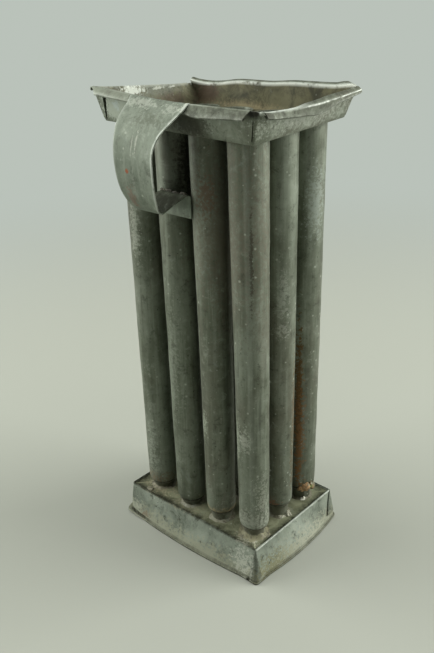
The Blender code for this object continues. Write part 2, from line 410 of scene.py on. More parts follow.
def tinFinish(name, look, stains=()):
    # Old tin: cloudy base colours, rolled streaks, mottling, pale dots, pits, stains, some of them painted
    # light or shade, worn edges that are in places a painted highlight, and grime with painted shade
    material = bpy.data.materials.new(name)
    material.use_nodes = True
    tree = material.node_tree
    shader = tree.nodes["Principled BSDF"]
    place = addNode(tree, 'ShaderNodeTexCoord').outputs["Object"]
    clouds = grain(tree, stretched(tree, place, look["cloudStretch"]), look["cloudScale"], 5.0, 0.6, 0.4)
    brownPlace = stretched(tree, place, look["cloudStretch"], (0.3, 0.1, 0.2))
    brown = grain(tree, brownPlace, look["cloudScale"] * 0.6, 4.0, 0.6, 0.6)
    streaks = grain(tree, stretched(tree, place, look["streakStretch"]), look["streakScale"], 5.0, 0.65)
    mottle = grain(tree, place, look["mottleScale"], 7.0, 0.78, 0.3)
    layers = [
        (band(tree, clouds, 0.35, 0.68), look["light"]),
        (band(tree, brown, 0.46, 0.66, 0.0, look["brown"]), look["brownColour"]),
        (band(tree, streaks, 0.48, 0.72, 0.0, look["streaks"]), look["streakColour"]),
        (band(tree, streaks, 0.46, 0.28, 0.0, look["streaks"]), look["mottleDark"]),
        (band(tree, mottle, 0.52, 0.7, 0.0, look["mottle"]), look["mottleLight"]),
        (band(tree, mottle, 0.48, 0.32, 0.0, look["mottle"]), look["mottleDark"]),
    ]
    dull = 0.0
    if "insideDark" in look:
        stained = attribute(tree, "stain")
        patches = band(tree, grain(tree, place, 75.0, 6.0, 0.7, 0.8), 0.36, 0.66)
        layers.append((stained, blendColour(tree, patches, look["insideDark"], look["insideLight"])))
        dull = times(tree, stained, 0.6)
    bloom = grain(tree, place, look["bloomScale"], 6.0, 0.7, 0.8)
    bloom = band(tree, bloom, look["bloomFrom"], look["bloomFrom"] + 0.16)
    dull = plus(tree, times(tree, bloom, 0.5), dull)
    pits = grain(tree, place, look["pitScale"], 3.0, 0.5)
    pits = band(tree, pits, look["pitFrom"], look["pitFrom"] + 0.05)
    layers += [(times(tree, bloom, look["bloom"]), look["bloomColour"]),
               (times(tree, pits, look["pits"]), look["pitColour"])]
    ragged = band(tree, grain(tree, place, look["raggedScale"], 6.0, 0.75), 0.2, 0.8)
    for spot in stains:
        share = stainShare(tree, place, ragged, spot)
        layers.append((share, spot["colour"]))
        dull = plus(tree, dull, times(tree, share, 0.8))
    speckle = dots(tree, place, look["dotScale"], look["dotSize"])
    wornAndSheen = times(tree, attribute(tree, "wearAndSheen"), band(tree, grain(tree, place, 190.0, 3.0, 0.6), 0.25, 0.5))
    grimeAndShade = times(tree, attribute(tree, "grimeAndShade"), band(tree, mottle, 0.62, 0.4, 0.55, 1.2))
    layers += [(times(tree, speckle, look["dots"]), look["dotColour"]),
               (times(tree, wornAndSheen, look["wearAndSheen"]), look["wearAndSheenColour"]), (grimeAndShade, look["grimeAndShadeColour"])]
    dull = plus(tree, plus(tree, dull, speckle), grimeAndShade)
    colour = look["dark"]
    for share, over in layers:
        colour = blendColour(tree, share, colour, over)
    height = times(tree, clouds, 0.35)
    height = plus(tree, height, times(tree, grain(tree, place, look["grainScale"], 4.0, 0.6), 0.45))
    height = plus(tree, height, times(tree, speckle, 0.2))
    tree.links.new(colour, shader.inputs["Base Color"])
    shader.inputs["Specular IOR Level"].default_value = 0.3
    metal = band(tree, dull, 0.0, 1.0, look["metal"], look["metal"] * 0.25)
    tree.links.new(metal, shader.inputs["Metallic"])
    rough = band(tree, clouds, 0.3, 0.7, look["rough"] - 0.06, look["rough"] + 0.08)
    rough = plus(tree, rough, times(tree, dull, 0.25))
    rough = maths(tree, 'SUBTRACT', rough, times(tree, wornAndSheen, 0.14))
    tree.links.new(rough, shader.inputs["Roughness"])
    bump = addNode(tree, 'ShaderNodeBump', {"Height": height, "Strength": look["bump"],
                                            "Distance": look["bumpHeight"] / metre})
    tree.links.new(bump.outputs["Normal"], shader.inputs["Normal"])
    return material


# Scales count per metre. Every other finish starts from this one
tin = {
    "dark": (0.104, 0.118, 0.083), "light": (0.195, 0.219, 0.17), "metal": 0.45, "rough": 0.5,
    "cloudScale": 60.0, "cloudStretch": (1.0, 1.0, 0.4), "brown": 0.5, "brownColour": (0.12, 0.112, 0.083),
    "mottleScale": 170.0, "mottle": 0.66, "mottleLight": (0.26, 0.285, 0.235),
    "mottleDark": (0.05, 0.054, 0.038), "streakColour": (0.25, 0.282, 0.222),
    "streakScale": 320.0, "streakStretch": (1.0, 1.0, 0.045), "streaks": 0.5,
    "bloomScale": 42.0, "bloomFrom": 0.6, "bloom": 0.5, "bloomColour": (0.245, 0.28, 0.25),
    "dotScale": 270.0, "dotSize": 0.3, "dots": 0.7, "dotColour": (0.4, 0.43, 0.36),
    "pitScale": 480.0, "pitFrom": 0.7, "pits": 0.7, "pitColour": (0.02, 0.021, 0.014),
    "wearAndSheen": 0.9, "wearAndSheenColour": (0.56, 0.6, 0.54), "grimeAndShadeColour": (0.022, 0.024, 0.011),
    "raggedScale": 560.0, "grainScale": 900.0, "bump": 0.35, "bumpHeight": 0.22,
}
# For sheets that lie flat or lean
evenly = {"streakStretch": (0.5, 0.5, 0.25), "cloudStretch": (1.0, 1.0, 1.0)}

rust = (0.118, 0.068, 0.024)
crust = (0.47, 0.49, 0.42)
# Near black, for painted shade in gaps and shaded corners
paintedShadeBlack = (0.015, 0.014, 0.009)
olive = (0.045, 0.046, 0.028)


# Top pan: one sheet, folded up into four walls whose lips are turned out

topPan = {
    "floorHalfX": 53.25, "floorHalfY": 36.0, "rimHalfX": 58.25, "rimHalfY": 39.2,
    "sheet": 0.5, "softEdge": 0.12, "holeRadius": 10.8,
    "rings": 9, "cornerRadius": 1.1, "foldRadius": 0.9, "rimDrop": 0.6,
    # Height of the rim's top along each side, from low X or low Y
    "rim": {
        "front": [(-58.3, 273.1), (-47, 272.8), (-33, 271.8), (-16, 270.6), (6, 269.7), (30, 269.8),
                  (58.3, 269.8)],
        "right": [(-39.2, 269.7), (-34, 268.7), (-22, 268.1), (-12, 268), (-5, 268.8), (5, 269.5),
                  (13, 270.3), (28, 271), (39.2, 271.9)],
        "back": [(-58.3, 268.9), (-55, 267.7), (-48, 266.9), (-38, 267.5), (-24, 269.3), (0, 269.7),
                  (16, 270.9), (36, 271), (43, 271.2), (49, 272), (55, 272.6), (58.3, 272)],
        "left": [(-39.2, 273.1), (-30, 271.8), (-8, 269.9), (16, 268), (27, 267.2), (39.2, 267)],
    },
    # Corners that have been pulled about: side of X and Y, move of the top, and how far that reaches
    "pulls": [(-1, 1, -0.4, -5.2, 9.0), (1, -1, -1.1, 0.9, 4.0)],
    "pullStart": 1.0, "pullHeight": 15.5,
    # Wedges pressed into the front wall beside a corner fold, painted dark as the shade in them: ends of
    # the foot and of the head, and levels
    "wedges": [
        {"foot": (-51.4, -50.6), "head": (-50.6, -47.2), "low": 256.0, "high": 270.0, "depth": 1.2},
        {"foot": (52.3, 53.0), "head": (55.0, 55.7), "low": 255.2, "high": 265.0, "depth": 0.6},
    ],
    # Lips: from and to, how much shorter the edge is than the root, rub of each step of bend and shelf, how
    # many steps dirt leaves clean, dirt along them, and rows of place, shelf out, shelf down, skirt out,
    # skirt down, rub of bend and of edge. The rub is partly a painted highlight along the bends and the
    # edge
    "lips": {
        "front": {"from": -58.3, "to": 55.4, "cutFrom": 6.8, "cutTo": 3.4, "rubAndSheen": [1, 1, 0.8, 0.4],
            "clean": 4, "dirt": [(-58.3, 0.1), (-22, 0.2), (20, 0.5), (58.3, 0.5)], "rows": [
            (-58.3, 0.7, 0.1, 2.4, 2.8, 0, 0.3), (-40, 0.7, 0.2, 2.4, 2.7, 0.1, 0.2),
            (-28, 0.7, 0.2, 2.4, 2.6, 0.1, 0.1), (14.2, 0.7, 0.2, 2.4, 3.2, 0.1, 0.1),
            (22, 0.7, 0.2, 2.4, 4.5, 0.1, 0.2), (42.6, 0.7, 0.2, 2.4, 3.6, 0, 0.2),
            (58.3, 0.7, 0.2, 2.4, 3.1, 0, 0.2)]},
        "right": {"from": -36.6, "to": 38.5, "cutFrom": 3.6, "cutTo": -0.4, "rubAndSheen": [0.9, 1, 1, 0.5],
            "clean": 4, "dirt": [(-39.2, 0.75), (-25, 0.55), (39.2, 0.5)], "rows": [
            (-39.2, 1, 0.2, 0.8, 1.6, 1, 0.2), (-35.5, 1.1, 0.2, 0.9, 2, 1, 0.2),
            (-30, 1.1, 0.3, 0.9, 2.2, 1, 0.1), (-19.3, 1.2, 0.3, 0.8, 2.5, 1, 0.1),
            (-9.6, 1.4, 0.5, 0.6, 3.1, 1, 0.1), (0, 1.9, 1, 0.2, 4.3, 1, 0.1),
            (9.9, 2, 1.4, 0.1, 3.7, 1, 0.1), (18, 2, 1.6, 0.1, 2.2, 1, 0.2),
            (28.1, 2, 1.3, 0.1, 1.6, 1, 0.3), (39.2, 2, 1.2, 0.1, 1, 1, 0.4)]},
        "back": {"from": -62, "to": 57, "cutFrom": 0, "cutTo": 7.5, "rubAndSheen": [0.5, 0.7, 0, 0],
            "clean": 3, "dirt": [(-58.3, 0.6), (58.3, 0.75)], "rows": [
            (-58.3, 2.8, -1.2, 0.1, 0.6, 1, 0.3), (-20, 2.8, -1, 0.1, 0.6, 1, 0.1),
            (20, 2.8, -1, 0.1, 0.6, 1, 0.1), (45, 2.8, -1.2, 0.1, 0.6, 1, 0.1),
            (58.3, 2.8, -0.5, 0.1, 0.6, 1, 0.1)]},
        "left": {"from": -39.2, "to": 33.5, "cutFrom": -1, "cutTo": 1, "rubAndSheen": [1, 1, 0.8, 0.4],
            "clean": 3, "dirt": [(-39.2, 0.3), (39.2, 0.3)], "rows": [
            (-39.2, 1.6, 0.3, 0.1, 0.6, 0.3, 0.1), (39.2, 1.6, 0.4, 0.1, 0.6, 0.3, 0.1)]},
    },
    "cutReach": 14.0, "lipReach": 3.0, "hemGap": 0.3, "hemReturn": 1.3,
    "rimDepth": 1.6, "endDepth": 7.5, "endWidth": 6.0,      # what counts as the rim, and as a lip's end
    "dent": 0.35, "dentSize": 22.0, "dentStart": 2.0, "dentHeight": 12.0,
}

sides = {       # each side's ways out and along
    "front": (Vector((0, -1, 0)), Vector((1, 0, 0))),
    "right": (Vector((1, 0, 0)), Vector((0, 1, 0))),
    "back": (Vector((0, 1, 0)), Vector((1, 0, 0))),
    "left": (Vector((-1, 0, 0)), Vector((0, 1, 0))),
}


def rimTop(place):
    # The nearest side sets the height of the rim
    gapX = topPan["rimHalfX"] - abs(place.x)
    gapY = topPan["rimHalfY"] - abs(place.y)
    if gapY <= gapX + 0.001:
        return along(topPan["rim"]["front" if place.y < 0 else "back"], place.x)
    return along(topPan["rim"]["left" if place.x < 0 else "right"], place.y)


def cornerPull(place, share):
    moved = Vector()
    for signX, signY, moveX, moveY, reach in topPan["pulls"]:
        halfX = topPan["floorHalfX"] + (topPan["rimHalfX"] - topPan["floorHalfX"]) * share
        halfY = topPan["floorHalfY"] + (topPan["rimHalfY"] - topPan["floorHalfY"]) * share
        away = math.hypot(max(0, halfX - signX * place.x), max(0, halfY - signY * place.y))
        moved += Vector((moveX, moveY, 0)) * clamp(1 - away / reach) * share ** 2
    return moved


def shapeTopPan():
    size = topPan
    floorX, floorY = size["floorHalfX"], size["floorHalfY"]
    bm, foldEdges = startPan(size, floorX, floorY, 0.0, tubeSpots.values())
    growWalls(bm, foldEdges, size["rings"], size["rimHalfX"] / floorX - 1, size["rimHalfY"] / floorY - 1)
    for vert in bm.verts:       # the share of the wall becomes a real height
        low = panFloor + floorLift(vert.co.x, vert.co.y)
        vert.co.z = low + (rimTop(vert.co) - size["rimDrop"] - low) * vert.co.z / metre
    roundFold(bm, foldEdges, size["foldRadius"])
    faceUp(bm, -1)
    marks = markLayers(bm, "wearAndSheen", "grimeAndShade", "stain")
    for vert in bm.verts:
        vert[marks[2]] = 1.0
    wallY = -(floorY + size["rimHalfY"]) / 2
    for wedge in size["wedges"]:
        borders = [((foot, wallY, wedge["low"]), (head, wallY, wedge["high"]))
                   for foot, head in zip(wedge["foot"], wedge["head"])]
        sinkWedge(bm, sides["front"][0], borders, wedge, marks[1])
    for side, lip in size["lips"].items():
        turnLip(bm, side, lip, marks)
    for vert in bm.verts:
        bulge = size["dent"] * clamp((vert.co.z - panFloor - size["dentStart"]) / size["dentHeight"])
        bulge *= waver(vert.co, size["dentSize"])
        for axis, half in enumerate((floorX, floorY)):
            if abs(vert.co[axis]) > half - 1.0:
                vert.co[axis] += bulge * math.copysign(1, vert.co[axis])
        high = vert.co.z - panFloor - size["pullStart"]
        vert.co += cornerPull(vert.co, clamp(high / size["pullHeight"]))
    faceUp(bm, -1)
    return bm


def lipPath(row):
    # Points outwards and up from the rim: a small bend, the shelf, the skirt, and the hem folded back
    shelfOut, shelfDown, skirtOut, skirtDown = row[:4]
    start = Vector((0.36, 0.12))
    shelf = Vector((shelfOut, -shelfDown))
    skirt = Vector((skirtOut, -skirtDown))
    ahead = skirt.normalized() if skirt.length > 0.9 else (shelf - start).normalized()
    under = Vector((ahead.y, -ahead.x)) * topPan["hemGap"]
    end = shelf + skirt
    back = ahead * topPan["hemReturn"]
    return [Vector((0, 0)), Vector((0.15, 0.1)), start, start.lerp(shelf, 0.4), start.lerp(shelf, 0.86),
            shelf, shelf + skirt * 0.05, shelf + skirt * 0.14, shelf + skirt * 0.55, end,
            end + ahead * 0.12 + under * 0.5, end + under, end + under - back * 0.5, end + under - back]


def turnLip(bm, side, lip, marks):
    wearAndSheen, grimeAndShade, stained = marks
    out, run = sides[side]
    half, otherHalf = topPan["rimHalfY"], topPan["rimHalfX"]
    if out.x:
        half, otherHalf = otherHalf, half
    first, last = lip["from"], lip["to"]
    for end in (first, last):
        if abs(end) < otherHalf - 0.4:
            cutAcross(bm, run * end, run, lambda centre: centre.dot(out) > half - topPan["endDepth"]
                      and centre.z > panFloor + 1.0 and abs(centre.dot(run) - end) < topPan["endWidth"])

    def onRim(vert):
        return (vert.co.dot(out) > half - topPan["rimDepth"] and vert.co.z > panFloor + 8.0
                and first - 0.01 <= vert.co.dot(run) <= last + 0.01)
    edges = [edge for edge in bm.edges if edge.is_boundary and all(onRim(vert) for vert in edge.verts)]
    for vert in {vert for edge in edges for vert in edge.verts}:
        vert[wearAndSheen] = 0.8 * rowAt(lip["rows"], vert.co.dot(run))[4]
    # How rubbed each step of the path is, which also paints the highlight along the bend: usually, and
    # where the lip lies flat and only its outer bend is, as a painted highlight line
    usualRubAndSheen = [*lip["rubAndSheen"], 0.0, 0.0]
    flatBendSheen = [0.0, 0.0, 0.0, 0.0, 1.0, 0.8]
    edgeRubAndSheen = {8: 1.0, 9: 0.6}
    for step in range(13):
        def turn(vert):
            at = vert.co.dot(run)
            row = rowAt(lip["rows"], at)
            before, after = lipPath(row)[step:step + 2]
            move = after - before
            ends = ((first, lip["cutFrom"]), (last, -lip["cutTo"]))
            cut = sum(clamp(1 - abs(at - end) / topPan["cutReach"]) * amount for end, amount in ends)
            vert.co += out * move.x + run * cut * move.x / topPan["lipReach"] + Vector((0, 0, move.y))
            flat = clamp((row[0] - 1.0) / 0.9) if side == "right" else 0.0
            if step < 6:
                vert[wearAndSheen] = row[4] * (usualRubAndSheen[step] * (1 - flat) + flatBendSheen[step] * flat)
            else:
                vert[wearAndSheen] = row[5] * edgeRubAndSheen.get(step, 0.0)
            # the hem turned back under the skirt is painted dark as shade
            if step > 9:
                vert[grimeAndShade] = 0.6
            elif step >= lip["clean"]:
                vert[grimeAndShade] = along(lip["dirt"], vert.co.dot(run))
            else:
                vert[grimeAndShade] = max(0.05, 0.5 * flat * (step < 3))
            vert[stained] = 0.0
        edges = growEdges(bm, edges, turn)


lipSolder = [
    stain((-14, -41.5, 268), (12, 5, 2), (0.44, 0.47, 0.4), 0.5, 2.6),
    stain((8, -42, 266.8), (6, 5, 2.6), (0.44, 0.47, 0.4), 0.5, 2.6),
    stain((16.3, -42, 267.8), (3.6, 5, 2.6), (0.52, 0.56, 0.47), 0.8, 1.6),
]
# The pale rub colour also paints the bright highlight along the lips' bends
panLook = {**tin, **evenly, "dark": (0.108, 0.122, 0.086), "light": (0.196, 0.22, 0.168), "bloom": 0.6,
           "mottle": 0.9, "wearAndSheenColour": (0.8, 0.85, 0.77)}
panTin = tinFinish("topPanTin", panLook, [
    # A paler front wall left of the strap: painted light that lifts it out of the lip's shadow
    stain((-39, -38, 262.5), (16, 4, 12), (0.4, 0.445, 0.37), 0.8, 1.0),
    stain((-40.6, -38, 264.3), (3.2, 3, 3), (0.42, 0.48, 0.45), 0.8),
    stain((14, -37.8, 260), (15, 4, 10), olive, 0.7),
    stain((57.5, 1, 262), (6, 46, 12), (0.35, 0.375, 0.32), 0.75, soft=0.8),
    # Painted shade in the front right corner under the lips' ends
    stain((56.2, -38.8, 268.4), (6.4, 5, 3.2), paintedShadeBlack, 0.95, 0.4, 0.7),
    *lipSolder,
])
insideLook = {**panLook, "insideDark": (0.042, 0.042, 0.022), "insideLight": (0.128, 0.123, 0.066),
              "rough": 0.5, "dots": 0.25, "dotSize": 0.22}
panInside = tinFinish("topPanInside", insideLook, [
    stain((-47, 37, 260), (12, 5, 9), (0.095, 0.058, 0.038), 0.6),
    stain((-57.5, 2, 265), (5, 34, 9), (0.205, 0.222, 0.176), 0.7, 1.2, 0.9),
    stain((-56.5, 15, 259), (4, 16, 5), (0.095, 0.058, 0.038), 0.5),
    stain((-14, 36.5, 256), (34, 5, 5), (0.28, 0.24, 0.135), 0.8, 0.8, 1.0),
    stain((-57, -11.5, 267.5), (3, 10, 4.2), (0.66, 0.7, 0.62), 0.85, 1.6, 0.6),
    stain((-57, 7.5, 266.8), (3, 5, 0.8), crust, 0.8),
    stain((-57, 18.6, 266.4), (3, 4, 0.6), crust, 0.7),
])
panPiece = gatherPiece(shapeTopPan(), "panSheet", [panTin, panInside], "top_pan", lift=False)
finishSheet(panPiece, topPan, inside=1)
softenEdges(panPiece, topPan["softEdge"])
print("top pan folded")


# Base pan: the same idea upside down, with bowed walls, a hem folded up outside, and soldered corner folds

basePan = {
    "plateHalfX": 51.65, "plateHalfY": 37.5, "footHalfX": 54.0, "footHalfY": 40.25, "footLevel": 0.7,
    "bow": 3.7, "sheet": 0.5, "softEdge": 0.12, "holeRadius": 6.6,
    "rings": 9, "cornerRadius": 1.2, "foldRadius": 0.45, "ridge": 1.5, "ridgeFlat": 0.9, "recess": 0.45,
    # The hem's path from the foot of the wall: outwards, and its level
    "hem": [(0.08, 0.56), (0.22, 0.56), (0.3, 0.72), (0.3, 1.1), (0.3, 1.5)],
    "openHem": {"corner": (-54.0, -40.25), "reach": 20.0, "out": 1.3, "rise": 0.2,
                "darkFrom": 28.0, "darkTo": 14.0, "lighterFrom": 32.0, "lighterTo": 10.0},
    "footPulls": [{"corner": (54.0, -40.25), "move": (1.4, -1.5), "reach": 12.0},
                  {"corner": (-54.0, -40.25), "move": (2.0, 0.8), "reach": 14.0}],
    "dent": 0.4, "dentSize": 20.0, "creaseCuts": (2.6, 3.4), "creaseTop": 2.8, "edgeTop": 0.8,
    # Folded corners: borders of each flap (start, end and where the wall faces), how far it stands out, and
    # how much painted shade darkens it
    "folds": {
        "baseFoldRight": {"lift": 0.58, "grimeAndShade": 0.55, "borders": [
            ((50.8, -37.5, 20.6), (49.3, -42.0, 0.5), (0, -1, 0)),
            ((55.6, -36.2, 0.5), (51.7, -37.2, 20.6), (1, 0, 0))]},
        "baseFoldBack": {"lift": 0.58, "grimeAndShade": 0.35, "borders": [
            ((51.7, 36.6, 20.6), (54.8, 31.4, 5.4), (1, 0, 0)),
            ((54.8, 31.4, 5.4), (55.1, 41.5, 4.5), (1, 0, 0)),
            ((55.1, 40.0, 0.0), (51.7, 37.4, 20.6), (1, 0, 0))]},
    },
    "slit": {"borders": [((51.7, 36.6, 20.6), (54.8, 31.3, 5.0)), ((51.7, 36.3, 20.6), (54.8, 30.3, 5.0))],
             "low": 5.0, "high": 19.6, "depth": 0.8},
}


def outwardAt(place):
    # Level direction away from the middle: square to the nearest side, slanting only round a corner
    halfX, halfY = basePan["footHalfX"], basePan["footHalfY"]
    return Vector((math.copysign((abs(place.x) / halfX) ** 14 / halfX, place.x),
                   math.copysign((abs(place.y) / halfY) ** 14 / halfY, place.y), 0.0)).normalized()


def nearCorner(vert, corner, far, close=0.0):
    return ease(-(vert.co.xy - Vector(corner)).length, -far, -close)


def shapeBasePan():
    size = basePan
    opened = size["openHem"]
    plateX, plateY = size["plateHalfX"], size["plateHalfY"]
    innerX, innerY = plateX - size["ridge"], plateY - size["ridge"]
    bm, edges = startPan(size, innerX, innerY, size["recess"] / plateTop * metre, footSpots.values())
    lastX, lastY = innerX, innerY
    for width in (size["ridgeFlat"], 0.0):
        nextX, nextY = plateX - width, plateY - width

        def spread(vert):
            vert.co = (vert.co.x * nextX / lastX, vert.co.y * nextY / lastY, 0.0)
        edges = growEdges(bm, edges, spread)
        lastX, lastY = nextX, nextY
    flareX, flareY = size["footHalfX"] / plateX - 1, size["footHalfY"] / plateY - 1
    growWalls(bm, edges, size["rings"], flareX, flareY)
    for vert in bm.verts:
        share = vert.co.z / metre
        alongX = vert.co.x / (plateX * (1 + flareX * share))
        alongY = vert.co.y / (plateY * (1 + flareY * share))
        if share > 0.05:
            vert.co.x += math.copysign(size["bow"] * share * max(0, 1 - alongY ** 2), alongX)
            vert.co.y += math.copysign(size["bow"] * share * max(0, 1 - alongX ** 2), alongY)
        vert.co.z = size["footLevel"] + (plateTop - size["footLevel"]) * (1 - share)
    roundFold(bm, edges, size["foldRadius"])
    for vert in bm.verts:
        share = clamp((plateTop - vert.co.z) / plateTop)
        if share > 0.03:
            bulge = size["dent"] * math.sin(math.pi * share) * waver(vert.co, size["dentSize"], 7.0)
            vert.co += outwardAt(vert.co) * bulge
            for pull in size["footPulls"]:
                near = nearCorner(vert, pull["corner"], pull["reach"])
                vert.co += Vector((*pull["move"], 0)) * near * share ** 2
    faceUp(bm, 1)
    wearAndSheen, grimeAndShade, stained = markLayers(bm, "wearAndSheen", "grimeAndShade", "stain")
    for level in (*size["creaseCuts"], plateTop - 1.0):
        cutAcross(bm, Vector((0, 0, level)), Vector((0, 0, 1)),
                  lambda centre: 0 < centre.z < plateTop - 0.1 and abs(centre.z - level) < 2.4)
    for vert in bm.verts:
        if vert.co.z < size["creaseTop"]:       # the crease above the hem, painted dark as shade, darkest where the hem stands open
            near = nearCorner(vert, opened["corner"], opened["darkFrom"], opened["darkTo"])
            vert[grimeAndShade] = 0.35 + 0.65 * near
    # A slit beside the back right fold, pressed in and painted dark as shade
    sinkWedge(bm, sides["right"][0], size["slit"]["borders"], size["slit"], grimeAndShade)
    for vert in bm.verts:       # painted shade as a dark line round the plate, and a bright ridge on the right, rubbed and partly a painted highlight
        onTop = vert.co.z > plateTop - size["edgeTop"]
        onRight = vert.co.x > plateX - 0.6
        inward = max(abs(vert.co.x) - innerX, abs(vert.co.y) - innerY)
        if onTop and inward > -0.1:
            vert[wearAndSheen] = 0.8 * onRight
            vert[grimeAndShade] = 0.9 * (inward < 0.3 or not onRight)
        vert[stained] = float(onTop and inward < 0.3)
    return bm


def foldHem(bm):
    # The lower edge turns out and up again, and stands open at one corner. Its turns are painted dark as
    # the shade in the gap, its outer face less, and least near the open corner
    size = basePan
    opened = size["openHem"]
    wearAndSheen, grimeAndShade = markLayers(bm, "wearAndSheen", "grimeAndShade")
    edges = [edge for edge in bm.edges if edge.is_boundary and max(vert.co.z for vert in edge.verts) < 3.0]
    lastOut, lastLevel = 0.0, size["footLevel"]
    for number, (out, level) in enumerate(size["hem"]):
        outermost = number > 2

        def turn(vert):
            near = nearCorner(vert, opened["corner"], opened["lighterFrom"], opened["lighterTo"])
            gape = nearCorner(vert, opened["corner"], opened["reach"]) * outermost
            vert.co += outwardAt(vert.co) * (out - lastOut + opened["out"] * gape)
            vert.co.z += level - lastLevel + opened["rise"] * gape
            vert[wearAndSheen] = 0.0
            vert[grimeAndShade] = 0.35 - 0.25 * near if outermost else 0.9
        edges = growEdges(bm, edges, turn)
        lastOut, lastLevel = out, level


def shapeFold(wall, fold):
    # A flap is the same stretch of wall again, cut to its borders and set a sheet further out
    bm = wall.copy()
    points = [Vector(point) for border in fold["borders"] for point in border[:2]]
    middle = sum(points, Vector()) / len(points)
    far = [face for face in bm.faces if (face.calc_center_median() - middle).length > 16.0
           or face.calc_center_median().z > plateTop - 0.2]
    bmesh.ops.delete(bm, geom=far, context='FACES')
    for start, end, facing in fold["borders"]:
        across = (Vector(end) - Vector(start)).cross(Vector(facing)).normalized()
        bmesh.ops.bisect_plane(bm, geom=bm.verts[:] + bm.edges[:] + bm.faces[:], plane_co=start,
                               plane_no=across, dist=0.05, clear_outer=True)
    wearAndSheen, grimeAndShade = markLayers(bm, "wearAndSheen", "grimeAndShade")
    for vert in bm.verts:
        vert.co += outwardAt(vert.co) * fold["lift"]
        vert[wearAndSheen] = 0.0
        vert[grimeAndShade] = fold["grimeAndShade"]
    return bm


baseLook = {**tin, **evenly, "dark": (0.148, 0.172, 0.136), "light": (0.27, 0.305, 0.252), "mottle": 1.0,
            "brown": 0.0, "metal": 0.5, "rough": 0.52, "dots": 0.9, "dotSize": 0.24,
            "insideDark": (0.12, 0.13, 0.075), "insideLight": (0.245, 0.26, 0.165)}
baseTin = tinFinish("basePanTin", baseLook, [
    # the lower part of the walls, crusty
    stain((0, 0, 2), (300, 300, 8), (0.315, 0.318, 0.225), 0.6, 2.6, 0.5),
    stain((46, -41, 11), (8, 5, 10), crust, 0.6, 2.8),
    stain((56.5, -22, 4), (5, 16, 8), (0.125, 0.12, 0.045), 0.65, 3.6),
    stain((58, 8, 6), (5, 20, 8), (0.36, 0.37, 0.3), 0.45, 4.5),
    stain((52.6, -41.2, 9), (1, 3, 9), (0.56, 0.58, 0.5), 0.8),
    # Painted shade in the small gap at the foot of the right fold
    stain((51, -42, 1.8), (1.6, 3, 2.2), paintedShadeBlack, ragged=0.6),
    stain((-45.5, -43, 7), (5, 3, 3.5), (0.36, 0.38, 0.31), 0.5, 4.0),
    stain((-36, -44.5, 4.5), (3.5, 3, 2.8), (0.14, 0.09, 0.055), 0.6, 3.5),
    # the plate, dusty
    stain((-35, -31, 21.2), (16, 13, 1.6), (0.33, 0.3, 0.195), 0.7, 2.5),
    stain((-8, -33, 21.2), (17, 10, 1.6), (0.3, 0.285, 0.19), 0.7, 2.5),
    stain((44, -32.5, 21.2), (12, 7, 1.6), (0.43, 0.425, 0.335), 0.8, 1.8),
])
baseWall = shapeBasePan()
for foldName, fold in basePan["folds"].items():
    finishSheet(gatherPiece(shapeFold(baseWall, fold), foldName, [baseTin]), basePan)
foldHem(baseWall)
faceUp(baseWall, 1)
basePiece = gatherPiece(baseWall, "baseSheet", [baseTin], "base_pan", sharp=30.0)
finishSheet(basePiece, basePan)
softenEdges(basePiece, basePan["softEdge"])
print("base pan folded")


# Candle tubes: rolled and lapped, with the lap's edge standing proud down one side

candleTube = {
    "topRadius": 10.55, "footRadius": 8.95, "wall": 0.5, "flange": 0.8,
    "sides": 64, "rings": 70, "innerRings": 12, "lap": 0.42, "lapWidth": 7.0,
    "waver": 0.22, "waverSize": 18.0, "curl": 1.1, "curlRise": 3.6,
    # Where each tube's lap is, in degrees round from +X
    "lapAt": {1: 200, 2: 120, 3: 95, 4: 296, 5: 160, 6: 20, 7: 60, 8: 75, 9: 10, 10: 230, 11: 140, 12: 100},
}


def tubeRadius(height):
    share = (min(height, panFloor) - tubeFoot) / (panFloor - tubeFoot)
    return candleTube["footRadius"] + (candleTube["topRadius"] - candleTube["footRadius"]) * share


